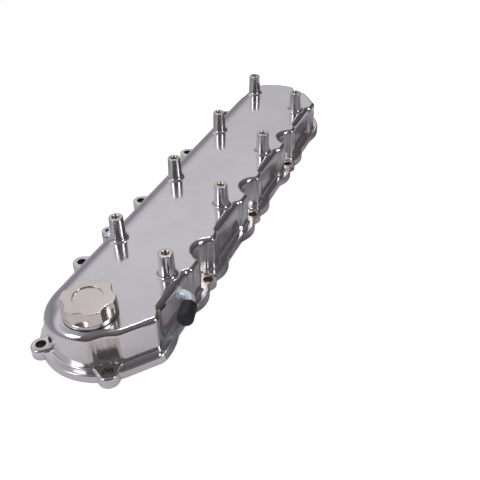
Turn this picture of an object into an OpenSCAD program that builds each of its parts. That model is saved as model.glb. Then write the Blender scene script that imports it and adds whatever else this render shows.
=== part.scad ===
// Cast aluminium valve cover for one bank of a V8 engine: a hollow crown on a bolted rail, with eight
// coil posts, a screw-in filler cap and a side vent elbow.
// Millimetres. X runs along the bank towards the plain end, Y across it, Z up from the gasket face.
// The origin is the middle bolt of the notched side, in the gasket face.

/* [Engine layout] */
// Distance from one cylinder to the next
bore_pitch = 111.76; // [108:0.01:116]

/* [Bolts] */
// Radius of each hole for a rail bolt
bolt_hole_r = 4.3; // [3.4:0.1:4.8]
// Radius of the boss round a rail bolt
bolt_boss_r = 8.6; // [8:0.1:9.4]
// Height of the bosses above the gasket face
ear_h = 10; // [9:0.5:12]
// Distance from the notch bolts to the flank bolts, across the cover
bolt_rows = 117.7; // [115:0.1:119]
// Offset of the flank bolts from their cylinder's line, along the cover
ear_shift = 32.4; // [28:0.1:36]
// Half the width of a flank ear where it leaves the rail
ear_root = 16.8; // [14:0.1:19]
// Depth of the pocket in a flank ear
ear_pocket_d = 5; // [3:0.5:6]

/* [Rail] */
// Thickness of the rail
rail_h = 8; // [6:0.5:9]
// How far the rail stands out past the crown's wall
rail_ledge = 6.4; // [5.5:0.1:7.5]
// Width of the gasket's groove
groove_w = 3; // [2.4:0.1:3.4]
// Depth of the gasket's groove
groove_d = 3.5; // [2.5:0.1:4.5]

/* [Crown] */
// Height of the flat top above the gasket face
top_z = 42; // [40:0.5:46]
// Wall thickness of the casting
wall = 4; // [3:0.1:4.5]
// Radius of the rounded top edge
edge_r = 4; // [3:0.1:4.5]
// Radius of the top edge round the filler's end
cap_edge_r = 7; // [5:0.1:8]
// Radius of the top edge round the plain end
far_edge_r = 5.5; // [4:0.1:7]
// Radius of the fillet where the crown's wall meets the rail
foot_r = 1.8; // [1:0.1:2]
// Radius of the two round ends
end_r = 46.5; // [45:0.1:47]
// Distance from the notch bolts to the crown's wall beside the posts
post_wall_y = 1.7; // [1:0.1:2.5]
// How much further out the wall is just before a notch
wide_step = 3.5; // [2.5:0.1:4]
// How much further out the wall is just after a notch
after_step = 2.1; // [1:0.1:2.5]
// Height of the flank's upright wall
knee_z = 29.4; // [27:0.1:31]
// Slope of the flank above its upright wall, in degrees
flank_slope = 50; // [46:1:54]
// Radius that blends the flank into the flat top
shoulder_r = 20; // [16:0.5:22]

/* [Notches] */
// Radius of the upright notch over each bolt between two cylinders
notch_r = 16; // [14:0.1:17]
// How far the notch's centre lies outside its bolt
notch_out = 6; // [5:0.1:8]
// Depth of the machined seat round each notch bolt
seat_d = 1.2; // [0.5:0.1:2]

/* [Coil posts] */
// Radius of a post at its top
post_r = 6.4; // [5.8:0.1:7]
// Radius of a post at its foot, before the flare
post_foot_r = 7.1; // [6.8:0.1:7.6]
// Radius of the flare round a post's foot
post_flare = 2.5; // [1.5:0.1:3]
// Height of the post tops above the gasket face
post_top_z = 64.5; // [60:0.5:70]
// Radius of the tapped hole in each post
post_hole_r = 3.1; // [2.5:0.1:3.5]
// Depth of the tapped hole in each post
post_hole_d = 16; // [12:0.5:20]
// Distance from the notch bolts to the row of posts beside them
near_row_y = 15.4; // [15:0.1:17]
// Distance between the two rows of posts
row_gap = 64; // [60:0.1:66]
// Offset of the near row from its cylinder's line, along the cover
near_row_shift = 12.5; // [10:0.1:15]
// Offset of the far row from its cylinder's line, along the cover
far_row_shift = 41.8; // [38:0.1:45]

/* [Filler cap] */
// Largest radius of the cap
cap_r = 21.9; // [20:0.1:23]
// Height of the cap's grip
cap_h = 12.8; // [11:0.1:15]
// Number of lobes round the grip
cap_lobes = 6; // [5:1:8]
// How deep each scallop between two lobes is
scallop_d = 3.2; // [2:0.1:4]
// Thickness of the cap's round flange, under the grip
flange_t = 1.6; // [1:0.1:2.5]
// Radius of the shallow recess in the cap's top
cap_recess_r = 12; // [10:0.5:14]
// Radius of the filler neck's bore
neck_r = 16; // [14:0.1:16.5]
// Wall thickness of the filler neck
neck_wall = 3.5; // [3:0.1:4]
// Length of the cap's threaded stem
stem_l = 13; // [10:0.5:16]
// Wall thickness of the stem
stem_wall = 3; // [2:0.1:4]
// Thickness of the sealing ring under the cap, squeezed
o_ring_t = 2.6; // [2:0.1:3.2]
// Radius of the sealing ring, to the middle of its section
o_ring_r = 19.9; // [18.5:0.1:20.2]

/* [Vent] */
// Outer radius of the elbow's tube
tube_r = 4; // [3.5:0.1:4.5]
// Wall thickness of the elbow's tube
tube_wall = 1; // [0.8:0.1:1.4]
// Bend radius of the elbow, to the tube's middle
tube_bend = 9; // [8:0.1:11]
// How far the elbow turns, in degrees
tube_turn = 76; // [60:1:90]
// Height of the elbow above the gasket face
vent_z = 33; // [30:0.1:33]
// Radius of the bead where the elbow meets the wall
bead_r = 5.5; // [5:0.1:6]
// Outer radius of the rubber cap
rubber_r = 6.9; // [6:0.1:7.5]
// Length of the rubber cap
rubber_l = 18.5; // [16:0.5:22]
// How far the tube reaches into the rubber cap
rubber_grip = 12; // [10:0.5:13]

/* [Inside] */
// Thickness of the baffle's sheet
baffle_t = 1.5; // [1:0.1:2]
// Gap between the baffle and the roof
baffle_gap = 12; // [10:0.5:14]
// Width of the baffle, across the cover
baffle_w = 46; // [40:1:50]
// Depth of the baffle's turned-down edges
baffle_lip = 6; // [4:0.5:8]

/* [Hidden] */
$fn = 48;
// Clearances: a thread or a pressed-in tube, and rubber beside its groove or tube
thread_clear = 0.05;
seal_clear = 0.1;
function polar(c, r, a) = [c[0] + r * cos(a), c[1] + r * sin(a)];

// The cylinders, and the bolts between them on the notched side
cylinders = 4;
cyls = [for (i = [0 : cylinders - 1]) (i - (cylinders - 1) / 2) * bore_pitch];
notches = [for (i = [0 : cylinders - 2]) (cyls[i] + cyls[i + 1]) / 2];
// The flank's wall and the centres of the two round ends
flank_y = bolt_rows - 18.7;
end_y = flank_y - end_r;
cap_end = [cyls[0] - 31.9, end_y];
far_end = [cyls[cylinders - 1] + 32.9, end_y];
// Direction in which the chamfered corner of the plain end faces; the other corner mirrors it
corner_a = -50.7;
// End bolts: direction and distance from the round ends' centres
far_bolt_a = -30.6;
far_bolt_d = end_r + 7.5;
far_bolt = polar(far_end, far_bolt_d, far_bolt_a);
far_notch_r = 13.5;
scoop_bolt = polar(cap_end, end_r + 4.4, 214);
scoop_r = 12.5;
scoop_lean = 0.232;
ear_bolt = polar(cap_end, end_r + 5.8, 135.5);
flank_bolts = [for (x = cyls) [x + ear_shift, bolt_rows]];
notch_bolts = [for (x = notches) [x, 0]];
end_bolts = [far_bolt, scoop_bolt, ear_bolt];
// Lugs of the end bolts: bolt, centre that it faces, half its root's width
end_lugs = [[far_bolt, far_end, 11], [scoop_bolt, cap_end, 11.5], [ear_bolt, cap_end, 8.8]];
// Tapped boss on the flank, beside the first ear
side_boss = [flank_bolts[0][0] + 30.5, flank_y + 6.3];
side_boss_r = 6.4;
side_boss_h = knee_z - 0.5;
side_boss_hole_r = 2.6;
side_boss_hole_d = 14;
// Coil posts, along the notched side and along the flank
posts = [for (row = [0, 1], x = cyls)
    [x + (row == 0 ? near_row_shift : far_row_shift), near_row_y + row * row_gap]];
post_sink = 3;
// Filler neck, near the middle of its round end
filler = [cap_end[0] - end_r + 28.8, end_y - 2.7];
neck_l = 15;
cap_seat_z = top_z + o_ring_t;
// Vent elbow, on the wall beside the first post
vent_x = cyls[0] + 4.1;
vent_y = post_wall_y;
bead_l = 2.6;
vent_run = 5.4;
socket_l = wall + 3;
bend_c = [vent_x - tube_bend, vent_y - vent_run];
bend_end = polar(bend_c, tube_bend, -tube_turn);
rubber_gap = 3.6;
rubber_start = polar(bend_end, rubber_gap, -90 - tube_turn);
rubber_bore_l = rubber_grip + 1.5;
// Baffle, hung from tapped bosses under the roof
baffle_z = top_z - wall - baffle_gap;
baffle_x = [cap_end[0] + 38, far_end[0] - 6];
baffle_y = end_y - 1.5;
hanger_r = 5;
hanger_hole_r = 2.5;
hanger_hole_d = 10;
hangers = [for (t = [0.08, 0.5, 0.92], side = [-1, 1])
    [baffle_x[0] + t * (baffle_x[1] - baffle_x[0]), baffle_y + side * (baffle_w / 2 - 8)]];
screw_head_r = 4.6;
screw_head_h = 3;
screw_l = 8;

// The crown's section. Each step of a profile is [inset from the foot's outline, height], upwards.
EDGE_STEPS = 5;
function smooth(t) = let (u = min(1, max(0, t))) u * u * (3 - 2 * u);
// A plain edge of radius r, for a skin that lies grow inside the outer one
function plain_step(k, grow, r) = let (ri = max(r - grow, 1), a = 90 * k / EDGE_STEPS)
    [grow + ri * (1 - cos(a)), top_z - grow - ri * (1 - sin(a))];
// The flank: a knee, a straight slope and a wide arc into the flat top
function flank_step(k, grow) =
    let (ri = shoulder_r - grow, knee = knee_z - grow * tan(45 - flank_slope / 2),
        run = (top_z - grow - knee) / tan(flank_slope) + ri * tan(flank_slope / 2),
        a = flank_slope * (EDGE_STEPS - k) / (EDGE_STEPS - 1))
    k == 0 ? [grow, knee] : [grow + run - ri * sin(a), top_z - grow - ri * (1 - cos(a))];
function edge_step(k, grow, r, share) = (1 - share) * plain_step(k, grow, r) + share * flank_step(k, grow);
// The fillet over the rail, from its toe to the wall
FOOT_STEPS = 2;
function foot_steps(bottom) = concat([[-foot_r, bottom]], [for (k = [0 : FOOT_STEPS])
    let (a = 90 * k / FOOT_STEPS) [foot_r * (sin(a) - 1), rail_h + foot_r * (1 - cos(a))]]);

// The smooth part of the outline: the plain end, the flank and the filler's end, anticlockwise.
// Each point is [centre, direction, share of the flank's slope, edge radius].
END_STEPS = 20;
flank_start = 25;
flank_mix = 52;
function flank_share(x) = smooth((far_end[0] + flank_start - x) / flank_mix)
    * smooth((x - cap_end[0] + flank_start) / flank_mix);
function end_point(c, corner, a, r) = [c, a,
    a > 0 && a < 180 ? flank_share(c[0] + end_r * cos(a)) : 0,
    edge_r + (r - edge_r) * smooth(abs(a - corner) / 30)];
// Half the angle that the far bolt's notch takes from the plain end, for outlines inset by e
function bite(e) = let (d = end_r - e, r = far_notch_r + e)
    acos((d * d + far_bolt_d * far_bolt_d - r * r) / (2 * d * far_bolt_d));
far_start_a = far_bolt_a + bite(0);
MIX_STEPS = 4;
mix_steps = [for (i = [1 : MIX_STEPS]) i * (flank_mix - flank_start + 5) / MIX_STEPS];
smooth_path = concat(
    [for (i = [0 : END_STEPS])
        end_point(far_end, corner_a, far_start_a + (90 - far_start_a) * i / END_STEPS, far_edge_r)],
    [for (d = mix_steps) [far_end - [d, 0], 90, flank_share(far_end[0] - d), far_edge_r]],
    [for (i = [MIX_STEPS - 1 : -1 : 0]) let (d = mix_steps[i])
        [cap_end + [d, 0], 90, flank_share(cap_end[0] + d), cap_edge_r]],
    [for (i = [0 : END_STEPS])
        end_point(cap_end, 180 - corner_a, 90 + (90 - corner_a) * i / END_STEPS, cap_edge_r)]);

// Points of the notched side at inset e, from the filler end's corner to the far bolt's notch
NOTCH_STEPS = 10;
wide_y = post_wall_y - wide_step;
after_y = post_wall_y - after_step;
function corner_x(c, side, y, e) = c[0] + side * (end_r - e - sin(corner_a) * (y - end_y)) / cos(corner_a);
function notch_angle(y, e) = asin((y + e + notch_out) / (notch_r + e));
function notch_points(x, e) = let (a0 = 180 - notch_angle(wide_y, e), a1 = notch_angle(after_y, e))
    [for (i = [0 : NOTCH_STEPS]) polar([x, -notch_out], notch_r + e, a0 + (a1 - a0) * i / NOTCH_STEPS)];
function step_points(x, e) = [[x - 34, post_wall_y + e], [x - 30, wide_y + e]];
function notch_run(x, e) = concat(step_points(x, e), notch_points(x, e),
    [[x + 25, after_y + e], [x + 29, post_wall_y + e]]);
function bearing(p, q) = atan2(q[1] - p[1], q[0] - p[0]);
function far_notch_points(e) = let (d = end_r - e,
        a0 = bearing(far_bolt, polar(far_end, d, far_bolt_a - bite(e))),
        a1 = bearing(far_bolt, polar(far_end, d, far_bolt_a + bite(e))),
        turn = a1 > a0 ? a1 - 360 - a0 : a1 - a0)
    [for (i = [0 : NOTCH_STEPS - 1]) polar(far_bolt, far_notch_r + e, a0 + turn * i / NOTCH_STEPS)];
function notched_side(e) = let (last = notches[cylinders - 2] + bore_pitch) concat(
    [[corner_x(cap_end, -1, post_wall_y + e, e), post_wall_y + e]],
    [for (x = notches) each notch_run(x, e)],
    step_points(last, e),
    [[corner_x(far_end, 1, wide_y + e, e), wide_y + e], polar(far_end, end_r - e, corner_a)],
    far_notch_points(e));

// Ring k of a loft that lies grow inside the outer skin and stands on the rings given as foot
function path_step(p, k, grow, foot) = k < len(foot) ? [grow + foot[k][0], foot[k][1]]
    : edge_step(k - len(foot), grow, p[3], p[2]);
function ring(k, grow, foot) = let (s = path_step([0, 0, 0, edge_r], k, grow, foot)) concat(
    [for (i = [0 : len(smooth_path) - 1])
        let (p = smooth_path[i], e = path_step(p, k, grow, foot),
            q = polar(p[0], end_r - e[0], i == 0 ? far_bolt_a + bite(e[0]) : p[1]))
        [q[0], q[1], e[1]]],
    [for (q = notched_side(s[0])) [q[0], q[1], s[1]]]);

// The crown as a solid, lofted through rings from the foot up over the edge, and planed flat on top
PLANED = 0.01;
module loft(grow, foot) {
    last = len(foot) + EDGE_STEPS;
    rings = concat([for (k = [0 : last - 1]) ring(k, grow, foot)],
        [[for (p = ring(last, grow, foot)) p + [0, 0, PLANED]]]);
    n = len(rings[0]);
    sides = [for (j = [0 : last - 1], i = [0 : n - 1]) each
        [[j * n + i, (j + 1) * n + i, j * n + (i + 1) % n],
        [j * n + (i + 1) % n, (j + 1) * n + i, (j + 1) * n + (i + 1) % n]]];
    ends = [[for (i = [0 : n - 1]) i], [for (i = [n - 1 : -1 : 0]) last * n + i]];
    difference() {
        polyhedron([for (r = rings) each r], concat(sides, ends), convexity = 10);
        translate([cap_end[0] - 2 * end_r, -end_r, top_z - grow])
            cube([far_end[0] - cap_end[0] + 4 * end_r, bolt_rows + 2 * end_r, 5]);
    }
}

// The crown's outline at its foot, moved in by e
module outline(e) {
    polygon([for (p = ring(0, e, [[0, 0]])) [p[0], p[1]]]);
}

module at(points) {
    for (p = points) translate([p[0], p[1], 0]) children();
}

// Rail: two round ends, the stretch between them and lobes along the notched side
rail_r = end_r + rail_ledge;
rail_low_y = -4.6;
notch_boss_r = 8.25;
lobe_r = 30;
lobes = [for (x = notches) each [[x - 23, lobe_r - 9.5], [x + 22, lobe_r - 8.7]]];
corner_lobe_r = [end_r + 14, end_r + 12.8];
chamfer_foot = polar(cap_end, rail_r, 180 - corner_a);
module rail_shape() {
    at([cap_end, far_end]) circle(rail_r, $fn = 120);
    translate([cap_end[0], end_y - end_r - 1]) square([far_end[0] - cap_end[0], end_r + 1 + rail_r]);
    translate([cap_end[0] - 8, rail_low_y]) square([far_end[0] - cap_end[0] + 16, end_r]);
    at(lobes) circle(lobe_r, $fn = 90);
    at(notch_bolts) circle(notch_boss_r);
    // Corner lobes, the first one cut by the chamfer
    intersection() {
        translate(cap_end) circle(corner_lobe_r[0], $fn = 180);
        polygon([cap_end, chamfer_foot, polar(chamfer_foot, 40, 270 - corner_a),
            cap_end + [0.5 * end_r, -1.4 * end_r], cap_end + [0.6 * end_r, -0.6 * end_r]]);
    }
    intersection() {
        translate(far_end) circle(corner_lobe_r[1], $fn = 180);
        polygon([far_end, far_end - [0.37 * end_r, 1.4 * end_r], far_end + [1.4 * end_r, -1.4 * end_r],
            far_bolt]);
    }
}

// A post on the flat top, flared at its foot and eased at its rim
module post() {
    rise = post_top_z - top_z + post_sink;
    flare_z = post_sink - 0.3;
    flare = [for (a = [0 : 22.5 : 90])
        [post_foot_r + post_flare * (1 - sin(a)), flare_z + post_flare * (1 - cos(a))]];
    translate([0, 0, top_z - post_sink]) rotate_extrude() polygon(concat(
        [[0, 0], [post_foot_r + post_flare, 0]], flare,
        [[post_r, rise - 0.6], [post_r - 0.6, rise], [0, rise]]));
}

// A bolt's lug, centred on the bolt: its sides run from a root on the -Y side into the boss, just inside
// a tangent to it, so that they end on its round face
LUG_TOUCH = 0.98;
module lug(root_w, root_y) {
    a = atan2(root_y, root_w) + acos(bolt_boss_r / norm([root_w, root_y]));
    touch = LUG_TOUCH * bolt_boss_r * [cos(a), sin(a)];
    linear_extrude(ear_h) polygon([[-root_w, root_y - 2.5], [root_w, root_y - 2.5],
        [root_w, root_y], touch, [-touch[0], touch[1]], [-root_w, root_y]]);
    cylinder(r = bolt_boss_r, h = ear_h);
}

// The flank's ears are wide lugs, and each end bolt has one that faces the centre of its round end
module lugs() {
    at(flank_bolts) lug(ear_root, flank_y + 2 - bolt_rows);
    for (e = end_lugs) translate([e[0][0], e[0][1], 0]) rotate([0, 0, bearing(e[0], e[1]) + 90])
        lug(e[2], end_r - 1 - norm(e[0] - e[1]));
}

// The pocket between an ear's two ribs, closed round the boss
module ear_pocket() {
    low = flank_y + foot_r + 2.4 - bolt_rows;
    translate([0, 0, ear_h - ear_pocket_d]) difference() {
        linear_extrude(rail_h) polygon([[-12, low], [12, low], [7.6, low + 8.6], [-7.6, low + 8.6]]);
        translate([0, 0, -1]) cylinder(r = bolt_boss_r + 0.4, h = rail_h + 2);
    }
}

// Leaning scoop that clears the scoop bolt's head; grown by a wall, it keeps the hollow off the skin
module scoop(grow, low) {
    h = top_z - low;
    foot = scoop_r + grow - (low - rail_h) * scoop_lean;
    translate([scoop_bolt[0], scoop_bolt[1], low]) cylinder(r1 = foot, r2 = foot - h * scoop_lean, h = h);
}

// Tapped boss that stands on the rail against the flank's wall
module side_boss_body() {
    at([side_boss]) {
        cylinder(r = side_boss_r, h = side_boss_h);
        translate([-side_boss_r, -side_boss_r - 1, 0]) cube([2 * side_boss_r, side_boss_r + 1, side_boss_h]);
    }
}

// The casting's body, before it is hollowed and drilled
module casting() {
    linear_extrude(rail_h) rail_shape();
    difference() {
        loft(0, foot_steps(rail_h - 2));
        scoop(0, rail_h);
    }
    at(posts) post();
    lugs();
    side_boss_body();
}

module hollow() {
    difference() {
        loft(wall, [[0, -1]]);
        scoop(wall, -2);
    }
}

// The gasket's path round the rail at inset e, led round the scoop bolt's hole
groove_in = -0.6;
module seal_path(e) {
    difference() {
        outline(e);
        at([scoop_bolt]) circle(bolt_hole_r + 2.6 + e - groove_in);
    }
}

// Round bars for sockets that run in from the vent's wall
module along_y(y, r, l) {
    translate([vent_x, y, vent_z]) rotate([-90, 0, 0]) cylinder(r = r, h = l);
}

module cover() color([0.80, 0.80, 0.83]) difference() {
    union() {
        difference() {
            casting();
            hollow();
        }
        // Inside: the filler's neck, the baffle's hangers and the vent's socket
        translate([filler[0], filler[1], top_z - neck_l]) cylinder(r = neck_r + neck_wall, h = neck_l - 2);
        translate([0, 0, baffle_z]) at(hangers) cylinder(r = hanger_r, h = baffle_gap + 1);
        along_y(vent_y + 1, bead_r + 1, socket_l - 1);
    }
    // Holes for the rail's bolts, with machined seats in the notches
    translate([0, 0, -1]) at(concat(notch_bolts, flank_bolts, end_bolts)) cylinder(r = bolt_hole_r, h = 20);
    translate([0, 0, rail_h - seat_d]) at(notch_bolts) cylinder(r = notch_boss_r - 0.25, h = 6);
    at(flank_bolts) ear_pocket();
    // Tapped holes
    translate([0, 0, post_top_z - post_hole_d]) at(posts) cylinder(r = post_hole_r, h = post_hole_d + 1);
    translate([0, 0, side_boss_h - side_boss_hole_d]) at([side_boss])
        cylinder(r = side_boss_hole_r, h = side_boss_hole_d + 1);
    translate([0, 0, baffle_z - 1]) at(hangers) cylinder(r = hanger_hole_r, h = hanger_hole_d + 1);
    // The filler's bore, the vent's socket and the gasket's groove
    translate([filler[0], filler[1], top_z - neck_l - 1]) cylinder(r = neck_r, h = neck_l + 2);
    along_y(vent_y - wall, tube_r + thread_clear, socket_l + 2 * wall);
    translate([0, 0, -1]) linear_extrude(groove_d + 1) difference() {
        seal_path(groove_in);
        seal_path(groove_in + groove_w);
    }
}

module rail_gasket() color([0.12, 0.12, 0.13]) linear_extrude(groove_d) difference() {
    seal_path(groove_in + seal_clear);
    seal_path(groove_in + groove_w - seal_clear);
}

// Filler cap: a scalloped grip on a round flange, over a hollow threaded stem
module filler_cap() color([0.83, 0.81, 0.79]) translate([filler[0], filler[1], cap_seat_z]) difference() {
    union() {
        cylinder(r = cap_r, h = flange_t);
        intersection() {
            rotate_extrude() polygon([[0, flange_t / 2], [cap_r - 0.4, flange_t / 2],
                [cap_r - 0.4, cap_h - 1.6], [cap_r - 2, cap_h], [0, cap_h]]);
            linear_extrude(cap_h) grip();
        }
        translate([0, 0, -stem_l]) cylinder(r = neck_r - thread_clear, h = stem_l + 1);
    }
    translate([0, 0, cap_h - 1]) cylinder(r = cap_recess_r, h = 2);
    translate([0, 0, -stem_l - 1]) cylinder(r = neck_r - stem_wall, h = stem_l);
}

// The grip's outline: a circle with a wide shallow scallop between each two lobes
module grip() {
    scallop_r = 12.5;
    first_scallop_a = 17;
    difference() {
        circle(cap_r + 1, $fn = 120);
        for (i = [0 : cap_lobes - 1]) rotate(first_scallop_a + i * 360 / cap_lobes)
            translate([cap_r - scallop_d + scallop_r, 0]) circle(scallop_r, $fn = 72);
    }
}

// Sealing ring, squeezed flat between the roof and the cap
module filler_cap_o_ring() color([0.10, 0.22, 0.16]) translate([filler[0], filler[1], top_z])
    rotate_extrude() intersection() {
        translate([o_ring_r, o_ring_t / 2]) circle(o_ring_t * 0.58);
        translate([o_ring_r - o_ring_t, 0]) square([2 * o_ring_t, o_ring_t]);
    }

// The free leg's frame: its axis is +Z, from the end of the bend outwards
module free_leg() {
    translate([bend_end[0], bend_end[1], vent_z]) rotate([0, 90, -90 - tube_turn]) children();
}

// Elbow: a pressed-in leg, a bend and a free leg, swept as one tube, with a bead against the wall.
// Each station is [turn so far, shift past the bend's end].
TUBE_SIDES = 24;
BEND_STEPS = 8;
stations = concat([[0, [0, vent_run + socket_l]]],
    [for (i = [0 : BEND_STEPS]) [-tube_turn * i / BEND_STEPS, [0, 0]]],
    [[-tube_turn, polar([0, 0], rubber_gap + rubber_grip, -90 - tube_turn)]]);
function tube_ring(s, r) = [for (j = [0 : TUBE_SIDES - 1])
    let (b = 360 * j / TUBE_SIDES, p = polar(bend_c, tube_bend + r * cos(b), s[0]) + s[1])
    [p[0], p[1], vent_z + r * sin(b)]];
module tube(r) {
    rings = [for (s = stations) tube_ring(s, r)];
    n = TUBE_SIDES;
    last = len(rings) - 1;
    sides = [for (j = [0 : last - 1], i = [0 : n - 1])
        [j * n + i, (j + 1) * n + i, (j + 1) * n + (i + 1) % n, j * n + (i + 1) % n]];
    ends = [[for (i = [0 : n - 1]) i], [for (i = [n - 1 : -1 : 0]) last * n + i]];
    polyhedron([for (r = rings) each r], concat(sides, ends), convexity = 4);
}

module vent_elbow() color([0.62, 0.66, 0.72]) difference() {
    union() {
        tube(tube_r);
        translate([vent_x, vent_y, vent_z]) rotate([90, 0, 0])
            cylinder(r1 = bead_r, r2 = tube_r + 0.6, h = bead_l);
    }
    tube(tube_r - tube_wall);
}

// Rubber cap: a blind sleeve over the elbow's free leg
module vent_cap() color([0.10, 0.10, 0.11]) free_leg() translate([0, 0, rubber_gap])
    rotate_extrude() polygon([[tube_r + seal_clear, 0], [rubber_r - 0.8, 0], [rubber_r, 0.8],
        [rubber_r, rubber_l - 1.5], [rubber_r - 1.5, rubber_l], [0, rubber_l], [0, rubber_bore_l],
        [tube_r + seal_clear, rubber_bore_l]]);

// Baffle: a sheet with two edges turned down, screwed to the hangers
module baffle_plate() color([0.70, 0.71, 0.73]) difference() {
    low = baffle_z - baffle_t - baffle_lip;
    baffle_l = baffle_x[1] - baffle_x[0];
    translate([baffle_x[0], baffle_y - baffle_w / 2, low]) cube([baffle_l, baffle_w, baffle_t + baffle_lip]);
    translate([baffle_x[0] - 1, baffle_y - baffle_w / 2 + baffle_t, low - 1])
        cube([baffle_l + 2, baffle_w - 2 * baffle_t, baffle_lip + 1]);
    translate([0, 0, low]) at(hangers) cylinder(r = hanger_hole_r + 0.3, h = baffle_lip + 2 * baffle_t);
}

// Pan-headed screws, up through the baffle into the hangers
module baffle_screws() color([0.66, 0.67, 0.70]) translate([0, 0, baffle_z - baffle_t - screw_head_h])
    at(hangers) {
        cylinder(r1 = screw_head_r - 1.2, r2 = screw_head_r, h = 1.2);
        translate([0, 0, 1.2]) cylinder(r = screw_head_r, h = screw_head_h - 1.2);
        cylinder(r = hanger_hole_r - thread_clear, h = screw_head_h + baffle_t + screw_l);
    }

cover();
filler_cap();
filler_cap_o_ring();
vent_elbow();
vent_cap();
rail_gasket();
baffle_plate();
baffle_screws();
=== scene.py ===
# %% [markdown]
# # A polished valve cover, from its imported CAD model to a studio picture
# The part is a valve cover from a car engine: a hollow aluminium casting with eight coil posts,
# a screw-in oil filler cap and a capped vent elbow. The CAD model fixes every size. Here the
# casting and its fittings get the soft edges and finishes of a cast and polished part.

# %% Load the frame and keep its size
from math import acos, asin, atan2, ceil, cos, degrees, hypot, pi, radians, sin, sqrt, tan

import bmesh
import bpy
from mathutils import Matrix, Vector


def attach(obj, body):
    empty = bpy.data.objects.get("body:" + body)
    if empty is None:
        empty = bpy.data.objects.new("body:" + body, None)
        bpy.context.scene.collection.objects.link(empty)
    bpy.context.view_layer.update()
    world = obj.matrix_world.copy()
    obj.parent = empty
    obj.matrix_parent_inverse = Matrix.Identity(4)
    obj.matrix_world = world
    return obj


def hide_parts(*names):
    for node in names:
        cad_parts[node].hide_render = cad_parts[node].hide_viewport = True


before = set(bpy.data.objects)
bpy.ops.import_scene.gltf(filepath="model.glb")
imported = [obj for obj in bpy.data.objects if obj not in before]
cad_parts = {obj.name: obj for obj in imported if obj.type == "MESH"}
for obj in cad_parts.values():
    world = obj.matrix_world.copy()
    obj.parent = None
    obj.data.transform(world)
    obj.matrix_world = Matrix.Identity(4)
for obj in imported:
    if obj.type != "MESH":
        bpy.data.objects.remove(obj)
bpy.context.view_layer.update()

# %% [markdown]
# ## Helpers for meshes
# A casting is mostly lofted: one closed outline is drawn through a row of sections. In Blender
# that can be done with bridged loops, or by extruding one loop of edges again and again and
# moving each copy into place. The second keeps the points of neighbouring rings in step, so the
# polish has no twists in it. Everything is drawn in millimetres, and made metres when finished.

# %% Loft through rings
MM = 0.001


def loft(bm, rings, first=True, last=True):
    """Extrudes the loop rings[0] through the other rings, and fills the first and the last."""
    verts = [bm.verts.new(p) for p in rings[0]]
    n = len(verts)
    edges = [bm.edges.new((verts[i], verts[(i + 1) % n])) for i in range(n)]
    start = edges
    for ring in rings[1:]:
        made = bmesh.ops.extrude_edge_only(bm, edges=edges)["geom"]
        fresh = {g for g in made if isinstance(g, bmesh.types.BMVert)}
        verts = [next(e.other_vert(v) for e in v.link_edges if e.other_vert(v) in fresh)
                 for v in verts]
        for v, p in zip(verts, ring):
            v.co = p
        edges = [bm.edges.get((verts[i], verts[(i + 1) % n])) for i in range(n)]
    if first:
        bmesh.ops.edgeloop_fill(bm, edges=start)
    if last:
        bmesh.ops.edgeloop_fill(bm, edges=edges)
    return start, edges


print("loft is ready")


# %% Finish a mesh
def shade(piece, sharp=38):
    """Smooth shading, apart from edges that turn more than sharp degrees."""
    bm = bmesh.new()
    bm.from_mesh(piece.data)
    for f in bm.faces:
        f.smooth = True
    for e in bm.edges:
        e.smooth = len(e.link_faces) == 2 and e.calc_face_angle(0) < radians(sharp)
    bm.to_mesh(piece.data)
    bm.free()


def finished(bm, name, *materials, sharp=38):
    """A mesh object in metres, with its faces outward."""
    bmesh.ops.recalc_face_normals(bm, faces=bm.faces)
    bmesh.ops.transform(bm, matrix=Matrix.Scale(MM, 4), verts=bm.verts)
    mesh = bpy.data.meshes.new(name)
    bm.to_mesh(mesh)
    bm.free()
    piece = bpy.data.objects.new(name, mesh)
    bpy.context.scene.collection.objects.link(piece)
    for m in materials:
        mesh.materials.append(m)
    shade(piece, sharp)
    return piece


print("finish is ready")

# %% [markdown]
# ## Finishes
# The casting is bare aluminium, ground and buffed until it mirrors the room. Polish is never
# even: the wheel leaves faint lines, and the metal stays duller where the wheel can't reach. So
# one recipe makes four finishes: the polished skin, the machined seats, the bores, whose dark
# colour is painted shade, and the hollows, brushed up and down, with painted shade and painted
# reflection streaks in their colour. A picture could be laid over the metal, but noise in Object
# coordinates needs no unwrapping and stays sharp at any distance.

# %% Nodes and patterns
def node(tree, kind, **values):
    made = tree.nodes.new(kind)
    for k, v in values.items():
        if k in made.inputs:
            made.inputs[k].default_value = v
        else:
            setattr(made, k, v)
    return made


def link(tree, a, out, b, into):
    tree.links.new(a.outputs[out], b.inputs[into])


def object_coords(tree, scale=(1, 1, 1), at=(0, 0, 0), turn=(0, 0, 0)):
    coords = node(tree, "ShaderNodeTexCoord")
    mapping = node(tree, "ShaderNodeMapping", Scale=scale, Location=at, Rotation=turn)
    link(tree, coords, "Object", mapping, "Vector")
    return mapping


def noise(tree, fineness, detail, **mapping):
    """Noise on Object coordinates, which the mapping can stretch, move or turn."""
    made = node(tree, "ShaderNodeTexNoise", Scale=fineness, Detail=detail)
    link(tree, object_coords(tree, **mapping), "Vector", made, "Vector")
    return made


def spread(tree, source, out, low, high, start=0.3, end=0.7):
    """Maps a pattern's values from start to end to the range from low to high."""
    m = node(tree, "ShaderNodeMapRange")
    m.inputs["From Min"].default_value, m.inputs["From Max"].default_value = start, end
    m.inputs["To Min"].default_value, m.inputs["To Max"].default_value = low, high
    link(tree, source, out, m, "Value")
    return m


print("node helpers are ready")


# %% Materials
def new_material(name, color, metallic=0.0, roughness=0.5):
    m = bpy.data.materials.new(name)
    m.use_nodes = True
    shader = m.node_tree.nodes["Principled BSDF"]
    shader.inputs["Base Color"].default_value = (*color, 1)
    shader.inputs["Metallic"].default_value = metallic
    shader.inputs["Roughness"].default_value = roughness
    return m, m.node_tree, shader


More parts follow.
